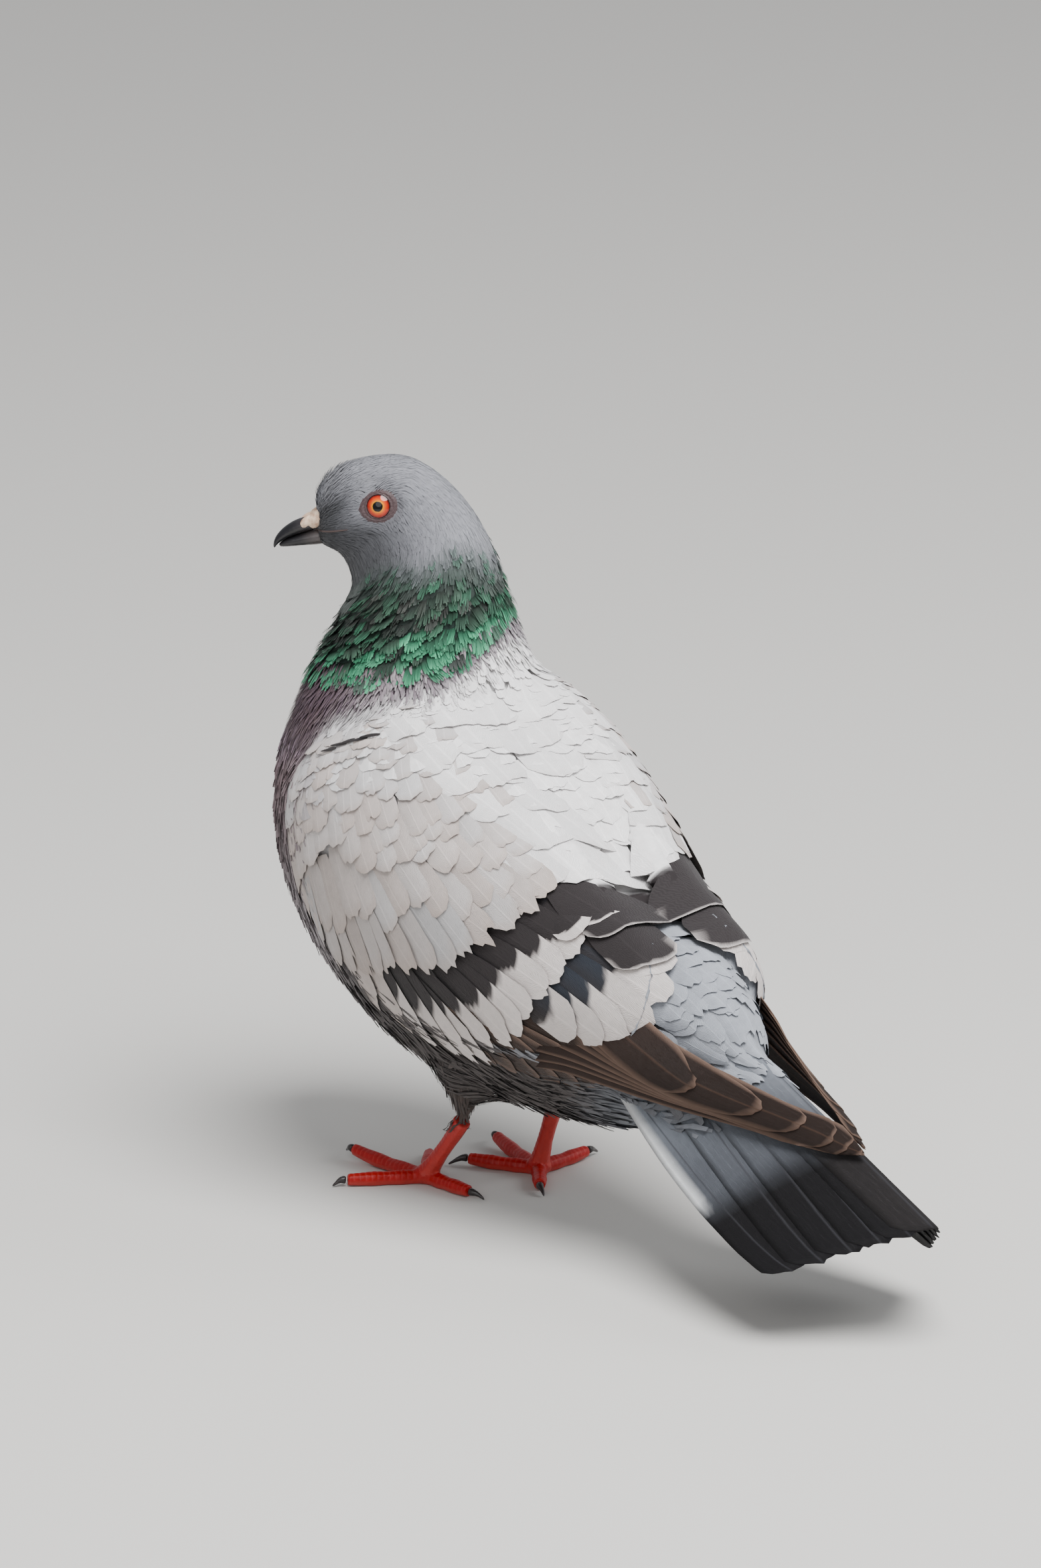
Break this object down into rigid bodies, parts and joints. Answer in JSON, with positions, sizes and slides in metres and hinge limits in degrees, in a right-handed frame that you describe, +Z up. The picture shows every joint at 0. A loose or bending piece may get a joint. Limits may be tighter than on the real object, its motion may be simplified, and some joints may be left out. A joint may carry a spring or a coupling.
{
  "type": "pigeon",
  "caption": "Life-size still model of a feral pigeon standing on its own feet, wings folded, head turned to its left; grey and cream with green neck feathers and red legs.",
  "frame": {"origin": "floor level, at the middle of the whole bird's box seen from above", "axes": "+Z up, -Y the way the breast faces, +Y the tail, +X the bird's left"},
  "size_m": [0.1052, 0.2744, 0.2126],
  "materials": {
    "head_plumage": "matte slate feathers over flesh",
    "neck_plumage": "glossy green feathers over flesh",
    "body_plumage": "matte grey feathers over flesh",
    "coverts": "matte cream-grey feathers",
    "primaries": "matte brown flight feathers",
    "tail_feathers": "matte blue-grey feathers with a dark end",
    "legs": "satin red scaled skin",
    "claws": "dark horn",
    "bill": "glossy black horn",
    "cere": "chalky skin",
    "eyes": "wet orange iris with a black pupil"
  },
  "bodies": {
    "root": {"head": "head_plumage", "neck": "neck_plumage", "trunk": "body_plumage", "left_thigh": "body_plumage", "right_thigh": "body_plumage", "left_wing": "coverts", "right_wing": "coverts", "left_primaries": "primaries", "right_primaries": "primaries", "tail": "tail_feathers", "left_foot": "legs", "right_foot": "legs", "left_tarsus": "legs", "right_tarsus": "legs", "left_claw_1": "claws", "left_claw_2": "claws", "left_claw_3": "claws", "left_claw_4": "claws", "right_claw_1": "claws", "right_claw_2": "claws", "right_claw_3": "claws", "right_claw_4": "claws", "upper_bill": "bill", "lower_bill": "bill", "cere": "cere", "left_eye": "eyes", "right_eye": "eyes"}
  },
  "joints": []
}
